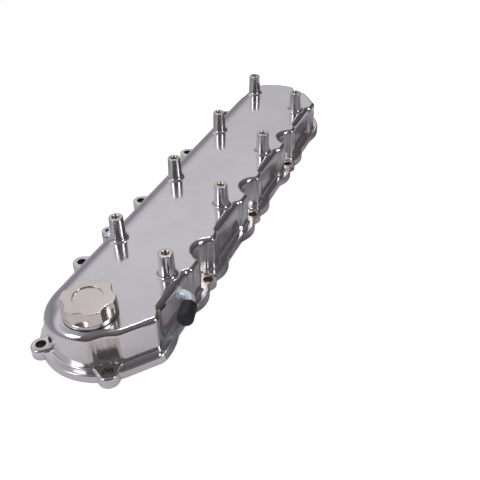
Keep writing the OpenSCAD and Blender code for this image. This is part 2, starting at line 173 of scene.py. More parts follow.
def tint(tree, shader, source, out, a, b, *span):
    """Colours the shader from a to b as a pattern rises over its span."""
    mix = node(tree, "ShaderNodeMix", data_type="RGBA")
    mix.inputs["A"].default_value, mix.inputs["B"].default_value = (*a, 1), (*b, 1)
    link(tree, spread(tree, source, out, 0, 1, *span), "Result", mix, "Factor")
    link(tree, mix, "Result", shader, "Base Color")


def roughen(tree, shader, source, low, high, *span):
    link(tree, spread(tree, source, "Fac", low, high, *span), "Result", shader, "Roughness")


def emboss(tree, shader, source, strength, distance):
    bump = node(tree, "ShaderNodeBump", Strength=strength, Distance=distance)
    link(tree, source, "Fac", bump, "Height")
    link(tree, bump, "Normal", shader, "Normal")


print("material helpers are ready")

# %% Four finishes of the casting
WHEEL_TURN = radians(22)


def polished(name, clear, dull, low, high, grain=(900, 60, 200), depth=0.000012, streaks=False):
    """Metal between two tints and two roughnesses, with the wheel's lines; streaks runs the tint
    along them as painted reflection streaks.
    """
    m, tree, shader = new_material(name, clear, metallic=1.0, roughness=low)
    cloud = noise(tree, 28.0, 4.0)
    lines = noise(tree, 1.0, 3.0, scale=grain, turn=(0, 0, WHEEL_TURN))
    both = node(tree, "ShaderNodeMath", operation="ADD")
    link(tree, spread(tree, cloud, "Fac", low, high), "Result", both, 0)
    link(tree, spread(tree, lines, "Fac", -0.02, 0.03), "Result", both, 1)
    link(tree, both, "Value", shader, "Roughness")
    # With streaks the tint follows the wheel's lines as painted reflection streaks and painted
    # shade; otherwise it follows a random cloud.
    tint(tree, shader, lines if streaks else cloud, "Fac", clear, dull)
    emboss(tree, shader, lines, 1.0, depth)
    return m


casting_polish = polished("polished_casting", (0.80, 0.79, 0.83), (0.76, 0.74, 0.77), 0.10, 0.16)
seat_finish = polished("machined_seat", (0.76, 0.71, 0.67), (0.62, 0.56, 0.51), 0.22, 0.34)
# Painted shade: the bores' dark brown colour stands in for the shade inside the holes.
bore_painted_shade = polished("painted_shade_bore", (0.42, 0.34, 0.29), (0.26, 0.21, 0.17), 0.35, 0.5)
# Painted shade and painted reflection streaks: the hollows' tint runs from pale to dark warm grey
# along upright streaks; the deep bump is the brushing.
hollow_brushing_and_painted_shade = polished("brushed_hollow_painted_shade", (0.82, 0.80, 0.82), (0.58, 0.52, 0.50), 0.14, 0.26,
                         grain=(260, 260, 6), depth=0.0012, streaks=True)
print("four finishes for the casting")

# %% [markdown]
# ## The crown's outline
# Seen from above, the crown is a stadium whose notched side makes room for three cover bolts.
# It could be traced point by point, but each stretch of it is a line or an arc that can be drawn
# at any inset, so one outline serves the outer skin, the hollow inside and every ring of the
# rounded edge. Most places are the CAD model's own. The near corner, the shoulder, the edge radii
# and the scoop were read from the photo once more, and are a little softer than the CAD's.

# %% Measures of the crown
PITCH = 111.76
CYLINDERS = [(i - 1.5) * PITCH for i in range(4)]
NOTCHES = [-PITCH, 0.0, PITCH]
END_R, FLANK_Y, TOP_Z, WALL, RAIL_H = 46.5, 99.0, 42.0, 4.0, 8.0
END_Y = FLANK_Y - END_R
CAP_END, FAR_END = (CYLINDERS[0] - 31.9, END_Y), (CYLINDERS[3] + 32.9, END_Y)
POST_WALL_Y, WIDE_Y, AFTER_Y, CORNER_Y = 1.7, -1.8, -0.4, -2.6
NOTCH_R, NOTCH_OUT = 16.0, 6.0
CORNER_A = -50.7
KNEE_Z, SLOPE, SHOULDER_R = 29.4, 50.0, 28.0
EDGE_R, CAP_EDGE_R, FAR_EDGE_R = 4.0, 7.0, 5.5
POST_EDGE_R, NOTCH_EDGE_R, FOOT_R = 6.6, 6.2, 1.8
print("crown:", round(FAR_END[0] - CAP_END[0] + 2 * END_R, 1), "mm long")


# %% Measures of the bolts
def polar(c, r, a):
    return (c[0] + r * cos(radians(a)), c[1] + r * sin(radians(a)))


FAR_BOLT_A, FAR_BOLT_D, FAR_NOTCH_R = -30.6, END_R + 7.5, 13.5
SCOOP_A, SCOOP_D = 214.0, END_R + 4.4
EAR_A, EAR_D = 135.5, END_R + 5.8
EAR_SHIFT, EAR_Y = 32.4, 117.7
FAR_BOLT = polar(FAR_END, FAR_BOLT_D, FAR_BOLT_A)
SCOOP_BOLT = polar(CAP_END, SCOOP_D, SCOOP_A)
EAR_BOLT = polar(CAP_END, EAR_D, EAR_A)
END_BOLTS = [FAR_BOLT, SCOOP_BOLT, EAR_BOLT]
NOTCH_BOLTS = [(n, 0) for n in NOTCHES]
FLANK_BOLTS = [(x + EAR_SHIFT, EAR_Y) for x in CYLINDERS]
print("end bolts:", [tuple(round(v, 1) for v in b) for b in END_BOLTS])


# %% Lines and arcs that can be drawn at any inset
def knot(x, y):
    return lambda e: (x, y + e)


def line_to(a, b):
    return lambda e, t: tuple(p + (q - p) * t for p, q in zip(a(e), b(e)))


def arc_to(c, r, a0, a1):
    return lambda e, t: polar(c, r(e), a0(e) + (a1(e) - a0(e)) * t)


print("lines and arcs are ready")


# %% The round ends and the corners beside them
def end_radius(e):
    return END_R - e


def end_knot(c, a):
    return lambda e: polar(c, END_R - e, a)


def corner_x(c, side, y, e):
    """Where the chamfer beside a round end is at a place y across."""
    return c[0] + side * (END_R - e - sin(radians(CORNER_A)) * (y - END_Y)) / cos(radians(CORNER_A))


def corner_knot(c, side, y):
    return lambda e: (corner_x(c, side, y + e, e), y + e)


print("near corner at x", round(corner_knot(CAP_END, -1, CORNER_Y)(0)[0], 1))


# %% The notches
def notch_radius(e):
    return NOTCH_R + e


def notch_a(y, e):
    """The angle at which a notch's arc is at a place y across."""
    return degrees(asin((y + e + NOTCH_OUT) / (NOTCH_R + e)))


def notch_start(e):
    return 180 - notch_a(WIDE_Y, e)


def notch_end(e):
    return notch_a(AFTER_Y, e)


def notch_knot(x, angle):
    return lambda e: polar((x, -NOTCH_OUT), notch_radius(e), angle(e))


def far_bite(e):
    """Half the angle that the far bolt's notch takes out of the round end."""
    d, r = END_R - e, FAR_NOTCH_R + e
    return degrees(acos((d * d + FAR_BOLT_D**2 - r * r) / (2 * d * FAR_BOLT_D)))


def far_notch(e, t):
    d = END_R - e
    start, end = (polar(FAR_END, d, FAR_BOLT_A + s * far_bite(e)) for s in (-1, 1))
    a0, a1 = (degrees(atan2(p[1] - FAR_BOLT[1], p[0] - FAR_BOLT[0])) for p in (start, end))
    a1 -= 360 if a1 > a0 else 0
    return polar(FAR_BOLT, FAR_NOTCH_R + e, a0 + (a1 - a0) * t)


print("far notch:", round(2 * far_bite(0), 1), "degrees of its round end")

# %% The outline, anticlockwise from the far notch
STEP_FROM, STEP_TO, BACK_FROM, BACK_TO = -34, -30, 25, 29
CORNER_BACK = 27
FAR_ARC, FLANK_LINE, CAP_ARC = range(3)
stretches = [
    arc_to(FAR_END, end_radius, lambda e: FAR_BOLT_A + far_bite(e), lambda e: 90),
    line_to(end_knot(FAR_END, 90), end_knot(CAP_END, 90)),
    arc_to(CAP_END, end_radius, lambda e: 90, lambda e: 180 - CORNER_A)]
knots = [end_knot(CAP_END, 180 - CORNER_A), corner_knot(CAP_END, -1, CORNER_Y),
         knot(CORNER_BACK - 2 * PITCH, 0), knot(BACK_TO - 2 * PITCH, POST_WALL_Y)]
notch_arcs = []
for x in NOTCHES + [NOTCHES[2] + PITCH]:
    knots += [knot(x + STEP_FROM, POST_WALL_Y), knot(x + STEP_TO, WIDE_Y)]
    if x in NOTCHES:
        knots.append(notch_knot(x, notch_start))
        stretches += [line_to(a, b) for a, b in zip(knots, knots[1:])]
        notch_arcs.append(len(stretches))
        stretches.append(arc_to((x, -NOTCH_OUT), notch_radius, notch_start, notch_end))
        knots = [notch_knot(x, notch_end),
                 knot(x + BACK_FROM, AFTER_Y), knot(x + BACK_TO, POST_WALL_Y)]
knots += [corner_knot(FAR_END, 1, WIDE_Y), end_knot(FAR_END, CORNER_A)]
stretches += [line_to(a, b) for a, b in zip(knots, knots[1:])]
stretches += [arc_to(FAR_END, end_radius, lambda e: CORNER_A, lambda e: FAR_BOLT_A - far_bite(e)),
              far_notch]
print(len(stretches), "stretches")

# %% Spread points evenly along the outline
STEP, SAMPLES = 1.3, 40


def length_of(stretch):
    pts = [stretch(0, i / SAMPLES) for i in range(SAMPLES + 1)]
    return sum(hypot(b[0] - a[0], b[1] - a[1]) for a, b in zip(pts, pts[1:]))


stations = []
for k, s in enumerate(stretches):
    n = max(2, ceil(length_of(s) / STEP))
    stations += [(k, i / n) for i in range(n)]
print(len(stations), "points round the crown")

# %% [markdown]
# ## How the form changes on the way round
# The flank slopes and the notched side stands upright, so somewhere round each end one form turns
# into the other. It could be two lofts with a seam. Here each point of the outline carries its
# own share of the slope and its own edge radius, and the radii are evened out along the outline,
# because a mirror shows every jump.

# %% Share of the slope and radius of the edge at each station
FAR_SLOPE_A, FAR_SLOPE_W, CAP_SLOPE_A, CAP_SLOPE_W = 42, 35, 120, 50
FAR_RADIUS_A, FAR_RADIUS_W, CAP_RADIUS_A, CAP_RADIUS_W = -18, 24, 230.7, 30
NOTCHED_SIDE_Y, RADIUS_PASSES = 2, 16


def ease(t):
    u = min(1.0, max(0.0, t))
    return u * u * (3 - 2 * u)


def station_form(k, t):
    """How much of the flank's slope a station has, and the radius of its top edge."""
    x, y = stretches[k](0, t)
    if k == FAR_ARC:
        a = degrees(atan2(y - END_Y, x - FAR_END[0]))
        rise = ease((a - FAR_RADIUS_A) / FAR_RADIUS_W)
        return ease((a - FAR_SLOPE_A) / FAR_SLOPE_W), EDGE_R + (FAR_EDGE_R - EDGE_R) * rise
    if k == FLANK_LINE:
        return 1, FAR_EDGE_R + (CAP_EDGE_R - FAR_EDGE_R) * ease(t)
    if k == CAP_ARC:
        a = degrees(atan2(y - END_Y, x - CAP_END[0])) % 360
        rise = ease((CAP_RADIUS_A - a) / CAP_RADIUS_W)
        return 1 - ease((a - CAP_SLOPE_A) / CAP_SLOPE_W), EDGE_R + (CAP_EDGE_R - EDGE_R) * rise
    if k in notch_arcs:
        return 0, EDGE_R + (NOTCH_EDGE_R - EDGE_R) * sin(pi * t)
    rise = ease((y - AFTER_Y) / (POST_WALL_Y - AFTER_Y)) * (y < NOTCHED_SIDE_Y)
    return 0, EDGE_R + (POST_EDGE_R - EDGE_R) * rise


shares, radii = zip(*(station_form(k, t) for k, t in stations))
for step in range(RADIUS_PASSES):
    radii = [(radii[i - 1] + 2 * radii[i] + radii[(i + 1) % len(radii)]) / 4
             for i in range(len(radii))]
forms = list(zip(shares, radii))
print("edge radius from", round(min(radii), 2), "to", round(max(radii), 2), "mm")

# %% [markdown]
# ## The crown's section
# Going up from the rail, the skin is a small fillet, an upright wall and a round edge into the
# flat top. Along the flank it is a knee, a slope and a wide shoulder instead. A bevel could round
# the edge, but with one radius all the way. Here both sections are rows of as many points, so
# they can be mixed where one form turns into the other.

# %% Two sections and their mix
ARC, WALL_STEPS, WALL_FOOT_Z = 10, 4, 24.0
KNEE_SOFT, LEAST_R = 3.0, 1.0


def rounding(r, angles):
    """How far (in, down) from the sharp corner a round edge of radius r is, at some angles."""
    return [(r * (1 - cos(a)), r * (1 - sin(a))) for a in angles]


def plain_section(grow, r):
    """(inset, height) of the upright wall and its round edge, for a skin that lies grow deep."""
    ri, top = max(r - grow, LEAST_R), TOP_Z - grow
    walls = [(grow, WALL_FOOT_Z + (top - ri - WALL_FOOT_Z) * t / WALL_STEPS)
             for t in range(WALL_STEPS + 1)]
    angles = [pi / 2 * k / ARC for k in range(1, ARC + 1)]
    return walls + [(grow + e, top - d) for e, d in rounding(ri, angles)]


def flank_section(grow):
    """(inset, height) of the knee, the slope and the shoulder, for a skin that lies grow deep."""
    slope, ri, top = radians(SLOPE), SHOULDER_R - grow, TOP_Z - grow
    knee = KNEE_Z - grow * tan(radians(45) - slope / 2)
    low, mid = (grow, knee - KNEE_SOFT), (grow, knee)
    high = (grow + KNEE_SOFT * cos(slope), knee + KNEE_SOFT * sin(slope))
    bend = [tuple((1 - t) ** 2 * a + 2 * t * (1 - t) * b + t * t * c
                  for a, b, c in zip(low, mid, high)) for t in (0, 1 / 3, 2 / 3, 1)]
    run = (top - knee) / tan(slope) + ri * tan(slope / 2)
    shoulder = [(grow + run - ri * sin(a), top - ri * (1 - cos(a)))
                for a in (slope * (ARC - k) / (ARC - 1) for k in range(1, ARC + 1))]
    return [(grow, WALL_FOOT_Z)] + bend + shoulder


def section(grow, share, r):
    return [tuple((1 - share) * a + share * b for a, b in zip(p, q))
            for p, q in zip(plain_section(grow, r), flank_section(grow))]


print(len(section(0, 0, EDGE_R)), "points in a section")

# %% [markdown]
# ## The scoop
# One end bolt sits so close to the crown that the wall gives way to it in a hollow that grows
# shallower on its way up. A cutter would leave a sharp edge and a seam in the polish. Pushing the
# rings' own points out of the hollow, and then evening out each ring, keeps the skin whole.

# %% Rings that stay clear of the scoop
SCOOP_DEPTH, SCOOP_HALF = (4.2, 0.8), (15.8, 5.4)  # at the rail, and how much less at the roof
NEAR_SCOOP, SCOOP_PASSES, PASSES = 24, 10, 4


def clear_of_scoop(p, z, e):
    """Moves a point of the filler's end out of the scoop."""
    dx, dy = p[0] - CAP_END[0], p[1] - CAP_END[1]
    turn = radians((degrees(atan2(dy, dx)) - SCOOP_A + 180) % 360 - 180)
    up = min(1, max(0, (z - RAIL_H) / (TOP_Z - RAIL_H)))
    depth, half = (low - less * up for low, less in (SCOOP_DEPTH, SCOOP_HALF))
    r = (half * half + depth * depth) / (2 * depth)
    far, r = END_R - depth + r, r + e
    room = r * r - (far * sin(turn)) ** 2
    if room <= 0 or abs(turn) > 1:
        return p
    reach = far * cos(turn) - sqrt(room)
    now = hypot(dx, dy)
    return p if now <= reach else (CAP_END[0] + dx * reach / now, CAP_END[1] + dy * reach / now)


def soften(ring, passes):
    """Rounds the corners of a ring: each pass moves a point towards its neighbours."""
    n = len(ring)
    for step in range(max(passes)):
        ring = [tuple((ring[i - 1][j] + 2 * ring[i][j] + ring[(i + 1) % n][j]) / 4
                      for j in range(3)) if passes[i] > step else ring[i] for i in range(n)]
    return ring


corner_passes = []
for k, t in stations:
    x, y = stretches[k](0, t)
    near = k == CAP_ARC and hypot(x - SCOOP_BOLT[0], y - SCOOP_BOLT[1]) < NEAR_SCOOP
    corner_passes.append(SCOOP_PASSES if near else PASSES)


def ring_at(insets_and_heights):
    """A ring of the crown from one (inset, height) for each station."""
    ring = []
    for (k, t), (e, z) in zip(stations, insets_and_heights):
        p = stretches[k](e, t)
        ring.append((*(clear_of_scoop(p, z, e) if k == CAP_ARC else p), z))
    return soften(ring, corner_passes)


def level(e, z):
    return ring_at([(e, z)] * len(stations))


print(corner_passes.count(SCOOP_PASSES), "points near the scoop")

# %% [markdown]
# ## The crown
# The outer skin runs from inside the rail up to the flat top, and the inner skin from there down
# again, so the crown is one closed shell. A modifier could thicken one skin, but its inner skin
# would pinch where the edge's radius is no larger than the wall. A last ring just inside the flat
# keeps the big face flat up to the round edge, where a mirror finish would give a bend away.

# %% Loft the crown
FLAT_RIM, LOW_RINGS, SUNK_Z, INNER_LOW_Z = 0.7, (18, 12), 5, 14
outer = [section(0, s, r) for s, r in forms]
inner = [section(WALL, s, r) for s, r in forms]
rings = [ring_at([(p[-1][0] + FLAT_RIM, TOP_Z) for p in outer])]
rings += [ring_at([p[k] for p in outer]) for k in range(len(outer[0]) - 1, -1, -1)]
rings += [level(0, z) for z in LOW_RINGS]
fillet = rounding(FOOT_R, [pi / 8 * k for k in range(4, -1, -1)])
rings += [level(-out, RAIL_H + up) for up, out in fillet]
rings += [level(-FOOT_R, SUNK_Z), level(WALL, SUNK_Z), level(WALL, INNER_LOW_Z)]
rings += [ring_at([p[k] for p in inner]) for k in range(0, len(inner[0]), 2)]
rings.append(ring_at([(p[-1][0] + FLAT_RIM, TOP_Z - WALL) for p in inner]))
bm = bmesh.new()
loft(bm, rings)
crown = finished(bm, "crown", casting_polish)
print("crown:", len(crown.data.polygons), "faces from", len(rings), "rings")

# %% [markdown]
# ## Bores
# The filler's neck and the vent's socket open through the roof and the wall. On the real part a
# drill makes them, and here a turned cutter does, with an exact boolean that is applied at once.
# Building the holes into the loft would bend its rows of faces and show in the reflections.

# %% Turned shapes and cutters
def turned(bm, profile, steps, at, axis=(0, 0, 1)):
    """Spins a profile of (radius, height) points into a closed turned shape about an axis."""
    before = set(bm.verts)
    line = [bm.verts.new((r, 0, z)) for r, z in profile]
    edges = [bm.edges.new(pair) for pair in zip(line, line[1:])]
    bmesh.ops.spin(bm, geom=line + edges, cent=(0, 0, 0), axis=(0, 0, 1), steps=steps,
                   angle=2 * pi, use_merge=True)
    made = [v for v in bm.verts if v not in before]
    bmesh.ops.remove_doubles(bm, verts=made, dist=1e-4)
    made = [v for v in bm.verts if v not in before]
    turn = Vector((0, 0, 1)).rotation_difference(Vector(axis)).to_matrix().to_4x4()
    bmesh.ops.transform(bm, matrix=Matrix.Translation(at) @ turn, verts=made)
    return made


def drill(bm, r, low, high, steps, at, axis=(0, 0, 1)):
    """Adds a round cutter that runs from low to high along its axis."""
    turned(bm, [(0, low), (r, low), (r, high), (0, high)], steps, at, axis)


def cut(piece, cutter):
    """Cuts the cutter out of the piece for good, and removes the cutter."""
    change = piece.modifiers.new("cut", "BOOLEAN")
    change.operation, change.solver, change.object = "DIFFERENCE", "EXACT", cutter
    whole = piece.evaluated_get(bpy.context.evaluated_depsgraph_get())
    mesh = bpy.data.meshes.new_from_object(whole)
    piece.modifiers.clear()
    old, piece.data = piece.data, mesh
    bpy.data.meshes.remove(old)
    bpy.data.objects.remove(cutter)


print("cutters are ready")

# %% Bore the crown for the filler and the vent
FILLER, NECK_R = (CAP_END[0] - 17.7, END_Y - 2.7), 16
VENT_X, VENT_Y, VENT_Z = CYLINDERS[0] + 4.1, POST_WALL_Y, 33.0
SOCKET_R, TO_FLANK, AWAY_FROM_FLANK = 4.05, (0, 1, 0), (0, -1, 0)
bm = bmesh.new()
drill(bm, NECK_R, -8, 8, 96, (*FILLER, TOP_Z))
drill(bm, SOCKET_R, 0, 20, 48, (VENT_X, VENT_Y - 4, VENT_Z), TO_FLANK)
cut(crown, finished(bm, "bores"))
print("bored crown:", len(crown.data.polygons), "faces")

# %% [markdown]
# ## The bolted rail
# The rail is a flat flange that follows the crown. Its edge swells into lobes that stiffen it
# between the bolts. A flat outline with a thickness would do, but its edge would be square. So it
# is lofted from its outline with a rounded upper edge, and then opened inside, bored for the
# bolts and grooved for the gasket, as the real one is machined.

# %% The rail's outline
RAIL_R, RAIL_LOW, LOBE_R, NOTCH_BOSS_R = END_R + 6.4, -4.6, 30.0, 8.25
CAP_LOBE_R, FAR_LOBE_R = END_R + 14, END_R + 12.8
SWELLS = ((-23, LOBE_R - 9.5, LOBE_R), (22, LOBE_R - 8.7, LOBE_R), (0, 0, NOTCH_BOSS_R))
FLANK_STEP, LOBE_STEP = 2, 1.2


def rail_edge(x):
    """The lowest edge of the rail's notched side at x."""
    low = RAIL_LOW
    for n in NOTCHES:
        for dx, cy, r in SWELLS:
            if abs(x - (n + dx)) < r:
                low = min(low, cy - sqrt(r * r - (x - (n + dx)) ** 2))
    return low


def steps(a, b, step):
    n = max(1, ceil(abs(b - a) / step))
    return [a + (b - a) * i / n for i in range(n)]


degree = degrees(STEP / RAIL_R)
corner_a = 180 - CORNER_A
chamfer_end_a = corner_a + degrees(acos(RAIL_R / CAP_LOBE_R))
cap_arc_end = 270 + degrees(acos((END_Y - RAIL_LOW) / CAP_LOBE_R))
far_arc_start = -90 - degrees(acos((END_Y - RAIL_LOW) / FAR_LOBE_R))
lobe_x = CAP_END[0] + CAP_LOBE_R * cos(radians(cap_arc_end))
far_x = FAR_END[0] + FAR_LOBE_R * cos(radians(far_arc_start))
rail_line = [polar(FAR_END, RAIL_R, a) for a in steps(FAR_BOLT_A, 90, degree)]
rail_line += [(x, END_Y + RAIL_R) for x in steps(FAR_END[0], CAP_END[0], FLANK_STEP)]
rail_line += [polar(CAP_END, RAIL_R, a) for a in steps(90, corner_a, degree)]
rail_line += [polar(CAP_END, RAIL_R / cos(radians(a - 180 + CORNER_A)), a)
              for a in steps(corner_a, chamfer_end_a, degree)]
rail_line += [polar(CAP_END, CAP_LOBE_R, a) for a in steps(chamfer_end_a, cap_arc_end, degree)]
rail_line += [(x, rail_edge(x)) for x in steps(lobe_x, far_x, LOBE_STEP)]
rail_line += [polar(FAR_END, FAR_LOBE_R, a) for a in steps(far_arc_start, FAR_BOLT_A, degree)]
rail_line = soften([(x, y, 0) for x, y in rail_line], [PASSES] * len(rail_line))
print(len(rail_line), "points round the rail")

# %% Loft the rail
RIM, BREAK = 1.4, 0.35


def drawn_in(line, e, z):
    """The line moved inwards by e, at height z."""
    n = len(line)
    out = []
    for i, p in enumerate(line):
        a, b = line[i - 1], line[(i + 1) % n]
        dx, dy = b[0] - a[0], b[1] - a[1]
        size = hypot(dx, dy) or 1
        out.append((p[0] - dy / size * e, p[1] + dx / size * e, z))
    return out


rail_sections = [(2 * BREAK, 0), (BREAK, 0), (0, BREAK), (0, RAIL_H - RIM)]
rail_sections += [(e, RAIL_H - d) for e, d in rounding(RIM, [pi / 10 * k for k in range(1, 6)])]
rail_sections.append((RIM + 0.6, RAIL_H))
bm = bmesh.new()
loft(bm, [drawn_in(rail_line, e, z) for e, z in rail_sections])
rail = finished(bm, "rail", casting_polish)
print("rail blank:", len(rail.data.polygons), "faces")

# %% Open and drill the rail
BOLT_R, SEAT_R, SEAT_D, OPENING_IN = 4.3, 8.15, 1.2, 0.3
bm = bmesh.new()
loft(bm, [level(WALL + OPENING_IN, z) for z in (-1, RAIL_H + 1)])
for bolt in NOTCH_BOLTS + END_BOLTS:
    drill(bm, BOLT_R, -3, 12, 48, (*bolt, 0))
cut(rail, finished(bm, "rail_cutters"))
print("drilled for", len(NOTCH_BOLTS + END_BOLTS), "bolts")

# %% Groove the rail for the gasket, and machine the seats
GROOVE_IN, GROOVE_W, GROOVE_D, SEAL_KEEP = -0.6, 3.0, 3.5, 2.6


def seal_line(e, z):
    """The gasket's path, led round the scoop bolt's hole."""
    out = []
    for p in level(e, z):
        dx, dy = p[0] - SCOOP_BOLT[0], p[1] - SCOOP_BOLT[1]
        grow = max(1.0, (BOLT_R + SEAL_KEEP + e - GROOVE_IN) / hypot(dx, dy))
        out.append((SCOOP_BOLT[0] + dx * grow, SCOOP_BOLT[1] + dy * grow, z) if grow > 1 else p)
    return out


bm = bmesh.new()
groove = [seal_line(GROOVE_IN, -1), seal_line(GROOVE_IN, GROOVE_D),
          seal_line(GROOVE_IN + GROOVE_W, GROOVE_D), seal_line(GROOVE_IN + GROOVE_W, -1)]
start, end = loft(bm, groove, first=False, last=False)
bmesh.ops.bridge_loops(bm, edges=start + end)
cut(rail, finished(bm, "groove_cutter"))
bm = bmesh.new()
for bolt in NOTCH_BOLTS:
    drill(bm, SEAT_R, RAIL_H - SEAT_D, 12, 64, (*bolt, 0))
cut(rail, finished(bm, "seats"))
print("rail:", len(rail.data.polygons), "faces")

# %% [markdown]
# ## Coil posts
# Eight round posts carry the ignition coils' bracket. Each has a soft flare at its foot and a
# tapped hole. A cylinder would need a bevel, a fillet and a cut for each of them, while one spun
# profile holds all three. Beside the flank the roof already falls away, so the flare's points
# follow it down.

# %% Posts
ROWS = ((12.5, 15.4), (41.8, 79.4))  # how far along from its cylinder, and where across
POSTS = [(x + shift, y) for shift, y in ROWS for x in CYLINDERS]
POST_R, POST_FOOT_R, FLARE, POST_RIM, POST_H, POST_SINK = 6.4, 7.1, 3.4, 0.9, 22.5, 2
POST_HOLE_R, POST_HOLE_D, DRILL_TIP, FLARE_REACH, LIFT = 3.1, 16, 1.5, 8, 0.02
THREADS, THREAD_PITCH, THREAD_D, THREAD_TOP = 12, 1.25, 0.45, 0.6


def roof_drop(y):
    """How far the shoulder of the flank lies under the flat top at y."""
    slope = radians(SLOPE)
    run = (TOP_Z - KNEE_Z) / tan(slope) + SHOULDER_R * tan(slope / 2)
    past = y - (FLANK_Y - run)
    return 0 if past <= 0 else SHOULDER_R - sqrt(max(0, SHOULDER_R**2 - past * past))


profile = [(0, -POST_SINK), (POST_FOOT_R + FLARE, -POST_SINK)]
flare = rounding(FLARE, [pi / 14 * k for k in range(8)])
profile += [(POST_FOOT_R + out, up + LIFT) for up, out in flare]
rim = rounding(POST_RIM, [pi / 8 * k for k in range(5)])
profile += [(POST_R - e, POST_H - d) for e, d in rim]
profile.append((POST_HOLE_R + 0.5, POST_H))
for k in range(THREADS):
    z = POST_H - THREAD_TOP - k * THREAD_PITCH
    profile += [(POST_HOLE_R, z), (POST_HOLE_R - THREAD_D, z - 0.6)]
profile += [(POST_HOLE_R, POST_H - POST_HOLE_D), (0, POST_H - POST_HOLE_D - DRILL_TIP)]
bm = bmesh.new()
for x, y in POSTS:
    for v in turned(bm, profile, 48, (x, y, TOP_Z)):
        v.co.z -= roof_drop(v.co.y) * (1 - ease((v.co.z - TOP_Z) / FLARE_REACH))
posts = finished(bm, "posts", casting_polish)
print(len(POSTS), "posts")

# %% [markdown]
# ## Ears and lugs
# The flank's four ears are pocketed gussets: two ribs run from the bolt's boss to the wall. The
# three end bolts sit in plain lugs. All are a circle with two tangents to a root, extruded and
# beveled like a cast edge. A beveled cylinder and a box would leave a crease where they meet.

# %% Slabs and the outline of a lug
BOSS_R, EAR_H = 8.6, 10.0


def slab(bm, outline, low, high, edge=0.9):
    """An extruded outline whose upper edges are rounded."""
    base = [bm.verts.new((x, y, low)) for x, y in outline]
    face = bm.faces.new(base)
    made = bmesh.ops.extrude_face_region(bm, geom=[face])["geom"]
    top = [g for g in made if isinstance(g, bmesh.types.BMVert)]
    bmesh.ops.translate(bm, vec=(0, 0, high - low), verts=top)
    lid = next(g for g in made if isinstance(g, bmesh.types.BMFace))
    if edge:
        bmesh.ops.bevel(bm, geom=list(lid.edges), offset=edge, offset_type="OFFSET",
                        affect="EDGES", segments=4, profile=0.5, material=-1, clamp_overlap=True)


def lug_outline(at, toward, root, width, radius):
    """A boss circle with two tangents to a root of a half width, at a distance in a direction."""
    touch = degrees(atan2(-root, width) + acos(min(1, radius / hypot(width, root))))
    points = [(width, -root - 2.5), (width, -root)]
    points += [polar((0, 0), radius, a) for a in steps(touch, 180 - touch, 8) + [180 - touch]]
    points += [(-width, -root), (-width, -root - 2.5)]
    turn = radians(toward + 90)
    return [(at[0] + x * cos(turn) - y * sin(turn), at[1] + x * sin(turn) + y * cos(turn))
            for x, y in points]


print("slabs and lug outlines are ready")

# %% Ears along the flank
EAR_ROOT, EAR_REACH, EAR_POCKET_D = 16.8, 16.7, 5
POCKET_ROOT, POCKET_NECK, POCKET_LIP, POCKET_R = 12, 7.6, 5.9, 9.0
bm = bmesh.new()
for b in FLANK_BOLTS:
    slab(bm, lug_outline(b, -90, EAR_REACH, EAR_ROOT, BOSS_R), LIFT, EAR_H)
ears = finished(bm, "ears", casting_polish)
bm = bmesh.new()
low = FLANK_Y + FOOT_R + 2.4
a = degrees(asin(POCKET_LIP / POCKET_R))
for x, y in FLANK_BOLTS:
    pocket = [(x - POCKET_ROOT, low), (x + POCKET_ROOT, low), (x + POCKET_NECK, y - POCKET_LIP)]
    pocket += [polar((x, y), POCKET_R, -t) for t in steps(a, 180 - a, 8) + [180 - a]]
    pocket.append((x - POCKET_NECK, y - POCKET_LIP))
    slab(bm, pocket, EAR_H - EAR_POCKET_D, EAR_H + 3, 0)
    drill(bm, BOLT_R, -3, 14, 48, (x, y, 0))
cut(ears, finished(bm, "pockets"))
print("ears:", len(ears.data.polygons), "faces")

# %% Lugs at the ends
LUG_EDGE = 1.9
LUGS = ((EAR_BOLT, -44.5, 6.8, 8.8), (SCOOP_BOLT, 34, 5.4, 11.5), (FAR_BOLT, 149.4, 8.5, 11))
bm = bmesh.new()
for bolt, toward, root, width in LUGS:
    slab(bm, lug_outline(bolt, toward, root, width, BOSS_R), LIFT, EAR_H, LUG_EDGE)
lugs = finished(bm, "lugs", casting_polish)
bm = bmesh.new()
for bolt, *_ in LUGS:
    drill(bm, BOLT_R, -3, 14, 48, (*bolt, 0))
cut(lugs, finished(bm, "lug_holes"))
print("lugs:", len(lugs.data.polygons), "faces")

# %% [markdown]
# ## The tapped side boss, and what hangs inside
# A short tapped column stands against the flank. Inside the casting are the filler's neck, six
# hangers for the baffle and the ring that grips the vent's elbow. They could be pulled out of the
# crown's own faces, but its rows of faces don't lie where they stand. So each is spun from a
# profile of its own, which starts inside the metal that carries it.

# %% Side boss
SIDE_R, SIDE_LOW, SIDE_WEB_Z = 6.4, 0.5, 28.6
SIDE_X, SIDE_Y = FLANK_BOLTS[0][0] + 30.5, FLANK_Y + 6.3
column = [(0, SIDE_LOW), (SIDE_R, SIDE_LOW), (SIDE_R, 28.1), (6.1, 28.7), (5.5, 28.9)]
tapped_hole = [(3.0, 28.9), (2.6, 28.5), (2.6, 14.9), (0, 13.4)]
bm = bmesh.new()
turned(bm, column + tapped_hole, 48, (SIDE_X, SIDE_Y, 0))
slab(bm, [(SIDE_X - SIDE_R, FLANK_Y - 1), (SIDE_X + SIDE_R, FLANK_Y - 1),
          (SIDE_X + SIDE_R, SIDE_Y), (SIDE_X - SIDE_R, SIDE_Y)], SIDE_LOW, SIDE_WEB_Z, 0.3)
side_boss = finished(bm, "side_boss", casting_polish)
print("side boss:", len(side_boss.data.polygons), "faces")

